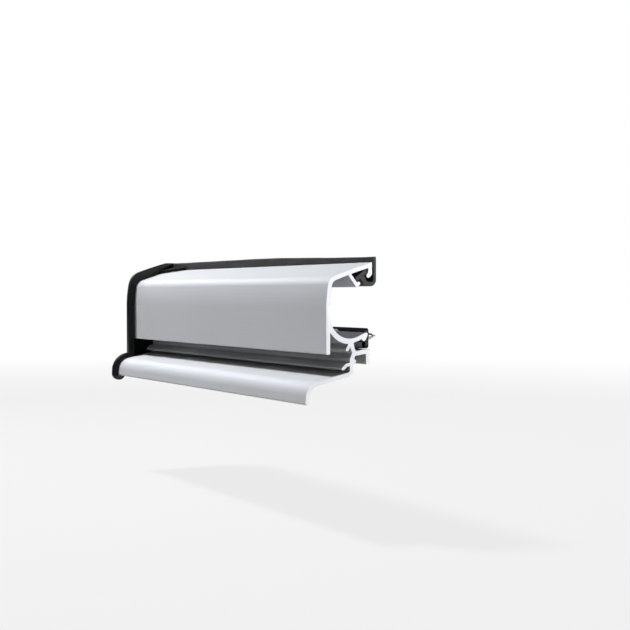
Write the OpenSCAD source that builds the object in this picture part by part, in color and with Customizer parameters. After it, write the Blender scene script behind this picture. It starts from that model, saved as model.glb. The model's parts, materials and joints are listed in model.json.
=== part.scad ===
// Threshold weather strip: an extruded aluminium rain rail with a gutter and a drip nose,
// clipped on screwed plastic holders, with a rubber top gasket and a moulded end cap.
//
// X runs along the rail and its bare cut end faces +X. Y = 0 is the mounting face, and the
// screws run to +Y. Z = 0 is the line of the holder screws. Section points are written [y, z].

/* [Rail] */
// Length of the aluminium rail
rail_length = 159; // [130:1:600]
// Wall thickness of the extrusion
wall = 1.5; // [1.3:0.05:1.7]
// Front face, measured from the mounting face
front_reach = 17.4; // [16.5:0.1:20]
// Rear top edge above the screw line
flange_height = 24.7; // [23:0.1:28]
// Lower edge of the front wall below the screw line
front_drop = 4.8; // [3:0.1:6]
// Radius of the bow in the upper part of the front wall
bow_radius = 42; // [30:1:60]
// Turn of the front wall over its bow
bow_turn = 10; // [4:0.5:12]
// Outer radius of the front top corner
corner_radius = 4; // [3.6:0.1:5]
// Slope of the flange where it leaves the front corner
flange_front_slope = 20; // [18:0.5:24]
// Slope of the flange at its rear edge
flange_rear_slope = 15; // [12:0.5:16]

/* [Gasket channel] */
// Length of the hook at the flange's rear edge
rear_hook_length = 4.6; // [4.2:0.1:5]
// Turned-in tip of the rear hook
rear_hook_turn = 0.9; // [0.6:0.1:1.1]
// Root of the gasket claw, measured from the mounting face
claw_root = 9.1; // [8.8:0.1:9.4]
// Length of the gasket claw
claw_length = 5.2; // [4.8:0.1:5.6]
// Angle of the gasket claw below the horizontal
claw_angle = 51; // [47:1:55]
// Thickness of the gasket claw
claw_wall = 1.2; // [1:0.05:1.4]
// Length of the barb at the claw's tip
barb_length = 0.9; // [0.6:0.1:1.1]

/* [Gutter and clip channel] */
// Radius of the gutter's floor
gutter_radius = 7.4; // [6.8:0.1:8]
// Extra thickness under the front half of the gutter
gutter_backing = 0.3; // [0.1:0.05:0.4]
// Rise of the gutter towards its rear edge
gutter_rise = 22; // [18:0.5:26]
// Lowest point of the clip hook below the screw line
clip_hook_drop = 0.8; // [0.6:0.05:1]
// Length of the clip hook
clip_hook_length = 1.6; // [1.4:0.1:1.8]
// Lean of the clip hook
clip_hook_lean = 30; // [24:1:34]
// Thickness of the clip hook
clip_hook_wall = 1.4; // [1.2:0.05:1.5]
// Height of the clip channel's mouth
clip_mouth = 2.7; // [2.5:0.05:3]
// Depth of the clip channel behind its hook
clip_depth = 3; // [2.8:0.05:3.4]
// Depth of the groove in the clip channel's floor
clip_groove = 0.35; // [0.25:0.05:0.5]
// Gap between the rail's rear leg and the mounting face
rail_gap = 0.8; // [0.5:0.05:1]
// Lower edge of the rear leg below the screw line
leg_drop = 8.35; // [7.5:0.05:9]
// Length of each drain slot
slot_length = 20; // [10:1:30]
// Width of each drain slot
slot_width = 3.4; // [2.6:0.1:3.8]
// Distance between the two drain slots
slot_pitch = 70; // [50:1:100]

/* [Sill and nose] */
// Middle of the web, measured from the mounting face
web_reach = 7.75; // [7.5:0.05:8.2]
// Top of the sill at the web, below the screw line
sill_drop = 10.5; // [10:0.1:11.5]
// Slope of the sill
sill_slope = 12; // [10:0.5:15]
// Front of the nose, measured from the mounting face
nose_reach = 25.1; // [24:0.1:28]
// Lower edge of the nose below the screw line
nose_drop = 20.5; // [19.5:0.1:24]
// Outer radius of the nose
nose_radius = 5.5; // [4.8:0.1:5.8]
// Lean of the nose lip
lip_lean = 6.5; // [3:0.5:9]
// Thickness at the edge of the nose lip
lip_wall = 1.25; // [1:0.05:1.4]
// Length of the drip nib under the gutter
nib_length = 2.5; // [2:0.1:2.8]
// Reach of the drip claw on the web
drip_claw_reach = 3.3; // [2.8:0.1:3.6]
// Thickness of the drip nib and the drip claw
drip_wall = 1.1; // [0.9:0.05:1.2]

/* [Top gasket] */
// Height of the gasket's lip above the rear top edge
gasket_rise = 3.2; // [1.5:0.1:3.5]
// Thickness of the gasket at its neck
gasket_neck = 1.6; // [1.3:0.05:1.8]
// Thickness of the lip's free edge
gasket_edge = 1; // [0.8:0.05:1.2]
// Thickness of the gasket's foot
gasket_foot = 1.4; // [1.2:0.05:1.5]

/* [Clip holders] */
// Length of a holder along the rail
holder_length = 36; // [32:1:44]
// Thickness of the holder's plate
holder_plate = 1.4; // [1.3:0.05:1.6]
// Top of the holder's plate above the screw line
holder_top = 3.3; // [3.1:0.1:4]
// Length of each snap tongue along the rail
tongue_length = 10; // [7:0.5:11]
// Distance from the rail's end to the holder's middle
holder_inset = 20; // [20:0.5:26]

/* [Holder screws] */
// Shank diameter
screw_diameter = 3; // [2.6:0.1:3.2]
// Head diameter
screw_head_diameter = 5.4; // [5:0.1:5.6]
// Overall length
screw_length = 16; // [12:1:20]
// Width of the cross recess
recess_width = 0.7; // [0.5:0.05:0.9]

/* [End cap] */
// Thickness of the cap's plate
cap_plate = 2; // [1.6:0.1:3.5]
// Length of the cap's collar over the rail
cap_collar = 1.1; // [0.8:0.1:4]
// How far the cap stands proud of the rail's front
cap_lap = 2.8; // [2:0.1:3.2]
// How much further the cap stands proud of the flange
cap_lift = 1; // [0:0.1:1.6]
// Top of the cap's ear above the flange's rear edge
cap_peak = 3.3; // [3:0.1:4]
// How far the cap stands proud of the nose
nose_lap = 2; // [1.5:0.1:2.2]
// Length of the flap that covers the gasket's end
flap_length = 15; // [8:1:25]
// Reach of the flap over the flange
flap_reach = 6; // [3:0.5:8]
// Thickness of the flap
flap_thickness = 1.2; // [0.8:0.1:1.6]
// Length of the cap's plug inside the rail
plug_length = 8; // [5:0.5:12]
// Thickness of the plug
plug_wall = 1.4; // [1.1:0.05:1.6]
// Thickness of the foam seal on the cap's outer face
seal_thickness = 2; // [1:0.1:4]
// Inset of the foam seal from the cap's edge
seal_inset = 1.1; // [0.8:0.1:1.4]

/* [Fits] */
// Play of a holder in the clip channel
clip_play = 0.2; // [0.15:0.05:0.3]
// Play between the cap and the rail
cap_play = 0.15; // [0.1:0.05:0.3]
// Gap between the gasket's lip and the rear hook
gasket_gap = 0.3; // [0.2:0.05:0.4]
// Play of a screw in its holder
screw_play = 0.1; // [0.05:0.05:0.2]

/* [Hidden] */

$fn = 64;
arc_step = 3;
bow_step = 1;

aluminium = [0.70, 0.71, 0.73];
black_plastic = [0.09, 0.09, 0.09];
rubber_black = [0.16, 0.16, 0.16];
foam_grey = [0.24, 0.24, 0.25];
zinc = [0.74, 0.75, 0.76];

// Outline helpers

function unit(v) = v / norm(v);
function left_of(v) = [-v[1], v[0]];
function heading(a) = [cos(a), sin(a)];
function reversed(list) = [for (i = [len(list) - 1 : -1 : 0]) list[i]];

// Points on an arc about c from angle a to angle b
function arc(c, r, a, b, step = arc_step) =
    let (steps = max(1, ceil(abs(b - a) / step)))
    [for (i = [0 : steps]) c + r * heading(a + (b - a) * i / steps)];

// Where the line through p along d meets the line through q along e
function meet(p, d, q, e) = p + d * cross(q - p, e) / cross(d, e);

// The corner at b between a and c, rounded to radius r
function fillet(a, b, c, r) =
    let (
        u = unit(a - b),
        v = unit(c - b),
        half = acos(u * v) / 2,
        centre = b + unit(u + v) * r / sin(half),
        start = b + u * r / tan(half) - centre,
        begin = atan2(start[1], start[0]),
        turn = (180 - 2 * half) * sign(cross(b - a, c - b))
    )
    arc(centre, r, begin, begin + turn);

// A path moved sideways, to its left by from at its start and by to at its end
function shifted(path, from, to) =
    let (last = len(path) - 1)
    [for (i = [0 : last])
        let (
            before = left_of(unit(path[max(i, 1)] - path[max(i, 1) - 1])),
            after = left_of(unit(path[min(i, last - 1) + 1] - path[min(i, last - 1)])),
            mitre = unit(before + after)
        )
        path[i] + mitre * (from + (to - from) * i / last) / (mitre * before)];

// The rounded tip at the end of a path of the given thickness
function tip(path, thickness) =
    let (
        last = len(path) - 1,
        way = path[last] - path[last - 1],
        a = atan2(way[1], way[0]),
        curve = arc(path[last], thickness / 2, a + 90, a - 90)
    )
    [for (i = [1 : len(curve) - 2]) curve[i]];

// The outline of a strip along a path, with a rounded tip if it is wanted
function strip(path, from, to, round_tip) =
    concat(
        shifted(path, from / 2, to / 2),
        round_tip ? tip(path, to) : [],
        reversed(shifted(path, -from / 2, -to / 2))
    );

module wall_along(path, thickness, to, round_tip = false)
    polygon(strip(path, thickness, is_undef(to) ? thickness : to, round_tip));

// A section drawn in Y and Z, run along X from x
module along_rail(x, length)
    translate([x, 0, 0])
        rotate([90, 0, 90])
            linear_extrude(length)
                children();

// Rail: front wall, corner and flange

half_length = rail_length / 2;
front_mid = -(front_reach - wall / 2);
rear_mid = -wall / 2;
corner_mid_r = corner_radius - wall / 2;
bow_end = 180 - bow_turn;
flange_front = 90 + flange_front_slope;
flange_rear = 90 + flange_rear_slope;
corner_start_y = front_mid + bow_radius * (1 + cos(bow_end));
corner_end_y = corner_start_y + corner_mid_r * (cos(flange_front) - cos(bow_end));
crown_r = (rear_mid - corner_end_y) / (cos(flange_rear) - cos(flange_front));
rear_mid_z = flange_height - wall / 2 * (tan(flange_rear_slope) + 1 / cos(flange_rear_slope));
crown_c = [rear_mid, rear_mid_z] - crown_r * heading(flange_rear);
corner_c = crown_c + (crown_r - corner_mid_r) * heading(flange_front);
bow_c = corner_c + (corner_mid_r - bow_radius) * heading(bow_end);
hook_bend = [rear_mid, flange_height - rear_hook_length + rear_hook_turn];
hook_heading = 225;
rear_hook_tip = hook_bend + rear_hook_turn * heading(hook_heading);

// The curve from the front wall over the corner to the flange's rear edge, moved out by grow.
// Its corner and flange are also moved up by lift, along the top of the front wall.
function wing_curve(grow, rear_angle, lift = 0) =
    let (rise = lift * heading(bow_end - 90))
    concat(
        arc(bow_c, bow_radius + grow, 180, bow_end, bow_step),
        lift > 0 ? [corner_c + rise + (corner_mid_r + grow) * heading(bow_end)] : [],
        arc(corner_c + rise, corner_mid_r + grow, bow_end - arc_step, flange_front + arc_step),
        arc(crown_c + rise, crown_r + grow, flange_front, rear_angle, bow_step)
    );

wing_path = concat(
    [[front_mid, -front_drop]],
    wing_curve(0, flange_rear),
    [hook_bend, rear_hook_tip]
);

// Height of the flange's middle line at a given y
function flange_mid(y) = crown_c[1] + sqrt(crown_r * crown_r - (y - crown_c[0]) * (y - crown_c[0]));

claw_start = [-claw_root, flange_mid(-claw_root)];
claw_end = claw_start + claw_length * heading(-claw_angle);
barb_end = claw_end + barb_length * heading(90 - claw_angle);

// Rail: gutter and clip channel

clip_hook_root_y = -(holder_plate + clip_play) - clip_hook_wall / 2;
clip_hook_tip = [
    clip_hook_root_y - clip_hook_length * sin(clip_hook_lean),
    clip_hook_wall / 2 - clip_hook_drop
];
clip_hook_root = clip_hook_tip + clip_hook_length * heading(90 - clip_hook_lean);
gutter_mid_r = gutter_radius + wall / 2;
gutter_c_y = front_mid + gutter_mid_r;
gutter_c = [
    gutter_c_y,
    clip_hook_root[1] + tan(gutter_rise) * (gutter_c_y - clip_hook_root[0])
        + gutter_mid_r / cos(gutter_rise)
];
gutter_start = 187;
backing_start = 204;
backing_end = 268;
gutter_rear_wall = wall * 0.95;
gutter_path = concat(
    arc(gutter_c, gutter_mid_r, gutter_start, 270 + gutter_rise),
    [clip_hook_root]
);
backing_path = arc(gutter_c, gutter_mid_r + gutter_backing, backing_start, backing_end);

// Height of the gutter's middle line at a given y in front of its rising part
function gutter_mid(y) =
    gutter_c[1] - sqrt(gutter_mid_r * gutter_mid_r - (y - gutter_c[0]) * (y - gutter_c[0]));

channel_floor = -clip_hook_drop - clip_mouth;
hook_inner = clip_hook_tip[0] - clip_hook_wall / 2;
stem_face = hook_inner - clip_depth;
stem_mid = stem_face - wall / 2;
stem_lean = 0.4;
knee_drop = wall * 0.7;
stem_top = [stem_mid - stem_lean, gutter_mid(stem_mid - stem_lean)];
stem_bend = [stem_mid, channel_floor + wall / 2];
knee = [stem_face, channel_floor - knee_drop];
groove_y = (stem_face + hook_inner) / 2;
leg_mid = -(rail_gap + wall / 2);
shelf_mid = channel_floor - wall / 2;
shelf_path = [
    knee,
    [groove_y, shelf_mid - clip_groove],
    [hook_inner + clip_groove, shelf_mid],
    [leg_mid, shelf_mid],
    [leg_mid, -leg_drop]
];

// Rail: web, sill and nose

web_mid = -web_reach;
knee_height = wall * 1.3;
web_knee = [web_mid, knee[1] - knee_height];
sill_way = heading(180 + sill_slope);
lip_way = heading(90 - lip_lean);
sill_start = [web_mid - wall / 2, -sill_drop - wall / 2 / cos(sill_slope)];
lip_end = [lip_wall / 2 - nose_reach, lip_wall / 2 - nose_drop];
web_foot = meet(sill_start, sill_way, web_knee, [0, 1]);
nose_mid_r = nose_radius - wall / 2;
nose_corner = meet(sill_start, sill_way, lip_end, lip_way);
foot_arc = fillet(web_knee, web_foot, nose_corner, wall);
nose_arc = fillet(web_foot, nose_corner, lip_end, nose_mid_r);
sill_path = concat([knee, web_knee], foot_arc, nose_arc, [lip_end]);
nose_c = nose_arc[0] + nose_mid_r * heading(270 + sill_slope);

nib_heading = 241;
nib_sink = wall * 0.45;
nib_root = [stem_mid - nib_sink, gutter_mid(stem_mid) - nib_sink];
nib_path = [nib_root, nib_root + nib_length * heading(nib_heading)];

drip_claw_heading = 190;
drip_claw_root = [web_mid, web_knee[1] - wall];
drip_claw_knee = drip_claw_root + drip_claw_reach * 0.6 * heading(drip_claw_heading);
drip_claw_tip = [drip_claw_root[0] - drip_claw_reach, drip_claw_knee[1] - drip_claw_reach / 3];
drip_claw_path = concat(
    [drip_claw_root],
    fillet(drip_claw_root, drip_claw_knee, drip_claw_tip, drip_wall),
    [drip_claw_tip]
);

nub_heading = -33;
nub_length = wall * 0.9;
nub_root = [web_mid, web_knee[1]];
nub_path = [nub_root, nub_root + nub_length * heading(nub_heading)];

module rail_section() {
    wall_along(wing_path, wall, round_tip = true);
    wall_along([claw_start, claw_end], claw_wall, round_tip = true);
    wall_along([claw_end, barb_end], claw_wall, round_tip = true);
    wall_along(gutter_path, wall, gutter_rear_wall);
    wall_along(backing_path, wall);
    wall_along([clip_hook_root, clip_hook_tip], clip_hook_wall, round_tip = true);
    wall_along(reversed([clip_hook_root, clip_hook_tip]), clip_hook_wall, round_tip = true);
    wall_along([stem_top, stem_bend, knee], wall);
    wall_along(shelf_path, wall);
    wall_along(sill_path, wall, lip_wall, round_tip = true);
    wall_along(nib_path, drip_wall, round_tip = true);
    wall_along(drip_claw_path, drip_wall, round_tip = true);
    wall_along(nub_path, drip_wall, round_tip = true);
}

// Rounded slot through the gutter's floor, in front of the stem
slot_y = nib_path[1][0] - drip_wall / 2 - slot_width / 2;
slot_low = gutter_mid(slot_y) - wall * 1.4;
slot_high = gutter_mid(slot_y) + gutter_radius / 2;

module drain_slot(x) {
    run = slot_length - slot_width;
    translate([x, slot_y, slot_low]) {
        for (side = [-1, 1])
            translate([side * run / 2, 0, 0])
                cylinder(d = slot_width, h = slot_high - slot_low);
        translate([-run / 2, -slot_width / 2, 0])
            cube([run, slot_width, slot_high - slot_low]);
    }
}

module rain_rail() {
    color(aluminium)
        difference() {
            along_rail(-half_length, rail_length)
                rail_section();
            for (side = [-1, 1])
                drain_slot(side * slot_pitch / 2);
        }
}

// Top gasket: a foot in the channel, a neck through its mouth and a lip behind the rear hook

mouth_mid = (barb_end + rear_hook_tip) / 2;
mouth_way = unit(rear_hook_tip - barb_end);
outward = -left_of(mouth_way);
foot_mid = mouth_mid - outward * (wall / 2 + gasket_foot / 2 + gasket_gap / 2);
foot_half = norm(rear_hook_tip - barb_end) / 2 - gasket_foot / 3;
neck_end = mouth_mid + outward * wall;
lip_y = gasket_gap + gasket_neck / 2;
lip_bend = [lip_y, neck_end[1] - gasket_neck / 3];
lip_top = [lip_y, flange_height + gasket_rise - gasket_edge / 2];
gasket_path = concat(
    [foot_mid],
    fillet(foot_mid, neck_end, lip_bend, gasket_neck * 0.7),
    fillet(neck_end, lip_bend, lip_top, gasket_neck),
    [lip_top]
);

module top_gasket() {
    foot_a = foot_mid - mouth_way * foot_half;
    foot_b = foot_mid + mouth_way * foot_half;
    start = cap_collar + cap_play - half_length;
    color(rubber_black)
        along_rail(start, half_length - start) {
            wall_along(gasket_path, gasket_neck, gasket_edge, round_tip = true);
            wall_along([foot_a, foot_b], gasket_foot, round_tip = true);
            wall_along([foot_b, foot_a], gasket_foot, round_tip = true);
        }
}

// End cap: a plate with a collar round the rail's end and a plug inside its corner

ear_y = lip_y + gasket_neck / 2 + cap_play;
ear_low = lip_bend[1] - gasket_neck;
cap_rear = -cap_play;

// The closed outline of the rail's end, grown by top above and in front and by nose round the
// sill and the nose. At the rear it ends at rear, and at ear above the foot of the cap's ear.
// Its top is moved up by lift, and cut off level at peak.
function silhouette(top, nose, rear, ear, lift, peak) =
    let (
        crown = crown_r + wall / 2 + top,
        centre = crown_c + lift * heading(bow_end - 90),
        ear_angle = acos((ear - centre[0]) / crown),
        level = peak < centre[1] + crown * sin(ear_angle),
        front = -front_reach - top,
        sill_top = sill_start + (wall / 2 + nose) * heading(90 + sill_slope),
        sill_under = sill_start - (wall / 2 + nose) * heading(90 + sill_slope),
        inner_r = nose_radius - wall - nose,
        lip_normal = 180 - lip_lean
    )
    concat(
        level ? [[ear, peak]] : [],
        reversed(wing_curve(
            wall / 2 + top, level ? 180 - asin((peak - centre[1]) / crown) : ear_angle, lift
        )),
        [meet([front, 0], [0, 1], sill_top, sill_way)],
        arc(nose_c, nose_radius + nose, 90 + sill_slope, lip_normal),
        arc(lip_end, lip_wall / 2 + nose, lip_normal, lip_normal + 180),
        arc(nose_c, inner_r, lip_normal, 90 + sill_slope),
        [meet([web_mid + wall / 2 + nose, 0], [0, 1], sill_under, sill_way)],
        [[rear, -leg_drop - nose]],
        [[rear, ear_low]],
        [[ear, ear_low]]
    );

plug_sink = wall / 2 + cap_play + plug_wall / 2;
plug_path = wing_curve(-plug_sink, flange_front - 1);
cap_seat = -half_length - cap_play;
collar_end = cap_collar - half_length;
cap_top = flange_height + cap_peak;
pocket_rear = 8;

// The thin flap that lies on the flange, from the collar along the gasket's end. Its underside
// is still the middle of the flange here, and the cap's pocket cuts it to the flange's top.
flap_top = crown_r + wall / 2 + cap_play + flap_thickness;
flap_tip = flap_thickness / 2;
flap_root = collar_end - cap_collar / 2;
flap_end = collar_end + flap_length;

module gasket_flap()
    intersection() {
        along_rail(flap_root, flap_end - flap_root)
            polygon(concat(
                arc(crown_c, flap_top, flange_front, acos(-crown_c[0] / flap_top), bow_step),
                reversed(arc(crown_c, crown_r, flange_front, acos(-crown_c[0] / crown_r), bow_step))
            ));
        linear_extrude(cap_top)
            polygon([
                [flap_root, 0],
                [flap_root, -flap_reach],
                [flap_end, -flap_tip],
                [flap_end, 0]
            ]);
    }

module end_cap() {
    color(black_plastic) {
        difference() {
            union() {
                along_rail(cap_seat - cap_plate, cap_plate + cap_play + cap_collar)
                    polygon(silhouette(cap_lap, nose_lap, cap_rear, ear_y, cap_lift, cap_top));
                gasket_flap();
            }
            along_rail(cap_seat, flap_end - cap_seat + cap_collar)
                polygon(silhouette(cap_play, cap_play, pocket_rear, cap_play, 0, cap_top));
        }
        along_rail(cap_seat - cap_plate / 2, cap_plate / 2 + plug_length)
            wall_along(plug_path, plug_wall, round_tip = true);
    }
}

module end_cap_seal() {
    color(foam_grey)
        along_rail(cap_seat - cap_plate - seal_thickness, seal_thickness)
            polygon(silhouette(
                cap_lap - seal_inset,
                nose_lap - seal_inset,
                cap_rear - seal_inset,
                ear_y - seal_inset,
                cap_lift,
                cap_top - seal_inset
            ));
}

// Clip holders: a screwed plate with a snap tongue at each end

holder_x = half_length - holder_inset;
plate_low = channel_floor + clip_play;
plate_corner = 1;
tongue_top = -clip_hook_drop - clip_play;
tongue_low = channel_floor + clip_play;
catch_y = hook_inner - clip_play;
catch_top = tongue_top + clip_play * 2;
tongue_front = stem_face + clip_play;
tongue_mid = (tongue_top + tongue_low) / 2;
tongue_nose = (tongue_top - tongue_low) / 4;

module holder_plate_outline() {
    half = holder_length / 2 - plate_corner;
    polygon(concat(
        arc([half, plate_low + plate_corner], plate_corner, -90, 0),
        arc([half, holder_top - plate_corner], plate_corner, 0, 90),
        arc([-half, holder_top - plate_corner], plate_corner, 90, 180),
        arc([-half, plate_low + plate_corner], plate_corner, 180, 270)
    ));
}

module tongue_section()
    polygon([
        [-holder_plate / 2, tongue_low],
        [-holder_plate / 2, tongue_top],
        [catch_y, tongue_top],
        [catch_y, catch_top],
        [catch_y - clip_play, catch_top],
        [tongue_front + clip_play, tongue_mid + tongue_nose],
        [tongue_front, tongue_mid],
        [tongue_front + clip_play, tongue_mid - tongue_nose],
        [groove_y, tongue_low - clip_groove],
        [groove_y + clip_groove * 2, tongue_low]
    ]);

module clip_holder(x) {
    color(black_plastic)
        difference() {
            union() {
                translate([x, 0, 0])
                    rotate([90, 0, 0])
                        linear_extrude(holder_plate)
                            holder_plate_outline();
                along_rail(x - holder_length / 2 + plate_corner, tongue_length)
                    tongue_section();
                along_rail(x + holder_length / 2 - plate_corner - tongue_length, tongue_length)
                    tongue_section();
            }
            translate([x, 0, 0])
                screw_form(screw_play);
        }
}

module clip_holder_left() { clip_holder(-holder_x); }
module clip_holder_right() { clip_holder(holder_x); }

// Holder screws: countersunk, with a cross recess

head_depth = (screw_head_diameter - screw_diameter) / 2;
head_seat = holder_plate - screw_play;
point_length = screw_diameter * 0.8;
recess_depth = head_depth * 0.7;
recess_span = screw_head_diameter * 0.56;

// The screw's outer form about the Y axis, grown by play
module screw_form(play) {
    body = screw_length - point_length;
    rotate([-90, 0, 0]) {
        translate([0, 0, -head_seat])
            cylinder(r1 = screw_head_diameter / 2 + play, r2 = screw_diameter / 2 + play, h = head_depth);
        translate([0, 0, head_depth - head_seat])
            cylinder(r = screw_diameter / 2 + play, h = body - head_depth);
        translate([0, 0, body - head_seat])
            cylinder(r1 = screw_diameter / 2 + play, r2 = screw_diameter / 20, h = point_length);
        if (play > 0)
            translate([0, 0, -head_seat - screw_head_diameter])
                cylinder(r = screw_head_diameter / 2 + play, h = screw_head_diameter);
    }
}

module holder_screw(x) {
    color(zinc)
        translate([x, 0, 0])
            difference() {
                screw_form(0);
                for (turn = [0, 90])
                    rotate([0, turn, 0])
                        translate([-recess_span / 2, -head_seat - recess_depth, -recess_width / 2])
                            cube([recess_span, recess_depth * 2, recess_width]);
            }
}

module holder_screw_left() { holder_screw(-holder_x); }
module holder_screw_right() { holder_screw(holder_x); }

rain_rail();
top_gasket();
end_cap();
end_cap_seal();
clip_holder_left();
clip_holder_right();
holder_screw_left();
holder_screw_right();
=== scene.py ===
"""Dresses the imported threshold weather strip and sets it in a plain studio.

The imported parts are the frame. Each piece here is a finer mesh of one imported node, built from
that node's own end outline or faces, with rounded edges and a procedural finish.
"""

import json
import logging
import math
from collections import Counter
from collections.abc import Callable, Sequence
from dataclasses import dataclass
from enum import Enum

import bmesh
import bpy
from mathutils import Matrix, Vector


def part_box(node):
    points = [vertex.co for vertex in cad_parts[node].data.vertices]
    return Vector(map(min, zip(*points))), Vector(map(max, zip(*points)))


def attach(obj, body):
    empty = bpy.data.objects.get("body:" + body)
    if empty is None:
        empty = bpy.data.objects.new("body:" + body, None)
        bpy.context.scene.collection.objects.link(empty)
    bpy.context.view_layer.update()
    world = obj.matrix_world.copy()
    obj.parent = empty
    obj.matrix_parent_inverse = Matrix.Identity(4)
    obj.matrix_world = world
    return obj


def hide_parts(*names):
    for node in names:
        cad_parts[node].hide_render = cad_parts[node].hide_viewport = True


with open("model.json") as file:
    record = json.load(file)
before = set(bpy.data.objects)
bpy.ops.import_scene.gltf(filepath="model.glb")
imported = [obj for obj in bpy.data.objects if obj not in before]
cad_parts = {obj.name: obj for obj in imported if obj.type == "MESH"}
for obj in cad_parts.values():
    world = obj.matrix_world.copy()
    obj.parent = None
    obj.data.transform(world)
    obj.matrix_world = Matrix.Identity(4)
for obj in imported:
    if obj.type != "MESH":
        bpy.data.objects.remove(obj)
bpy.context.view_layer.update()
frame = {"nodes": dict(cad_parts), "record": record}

LOG = logging.getLogger("weather_strip")

MM = 0.001
PER_MM = 1.0 / MM
SAME_PLACE = 0.002 * MM
FLAT_ANGLE = math.radians(0.2)
CORNER_ANGLE = math.radians(25.0)
CREASE_ANGLE = math.radians(38.0)
MOST_ROUNDED = 0.45
LEAST_MITRE = 0.5

Colour = tuple[float, float, float]
Place = tuple[float, float, float]
Scale = tuple[float, float, float]
Cell = tuple[int, int]
Ring = list[Vector]
Socket = bpy.types.NodeSocket
Steps = tuple[tuple[float, float], ...]
WHITE: Colour = (1.0, 1.0, 1.0)
EVEN: Steps = ((0.0, 1.0), (1.0, 1.0))
FLOOR_LEVEL = -62.0 * MM


class Side(Enum):
    """The two places along the rail that hold a clip holder and its screw."""

    LEFT = "left"
    RIGHT = "right"


class RailSkin(Enum):
    """The material slots of a piece that is cut from a long extrusion."""

    DRAWN = 0
    SAWN = 1


# Shader building


@dataclass(frozen=True)
class Grain:
    """A noise: its scale per millimetre along X, Y and Z, its finer layers, and its turn about X."""

    per_mm: Scale
    detail: float = 3.0
    rough: float = 0.5
    tilt: float = 0.0


@dataclass(frozen=True)
class Relief:
    """A fine relief: its depth in millimetres, and the share of it that shows."""

    depth_mm: float
    share: float


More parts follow.
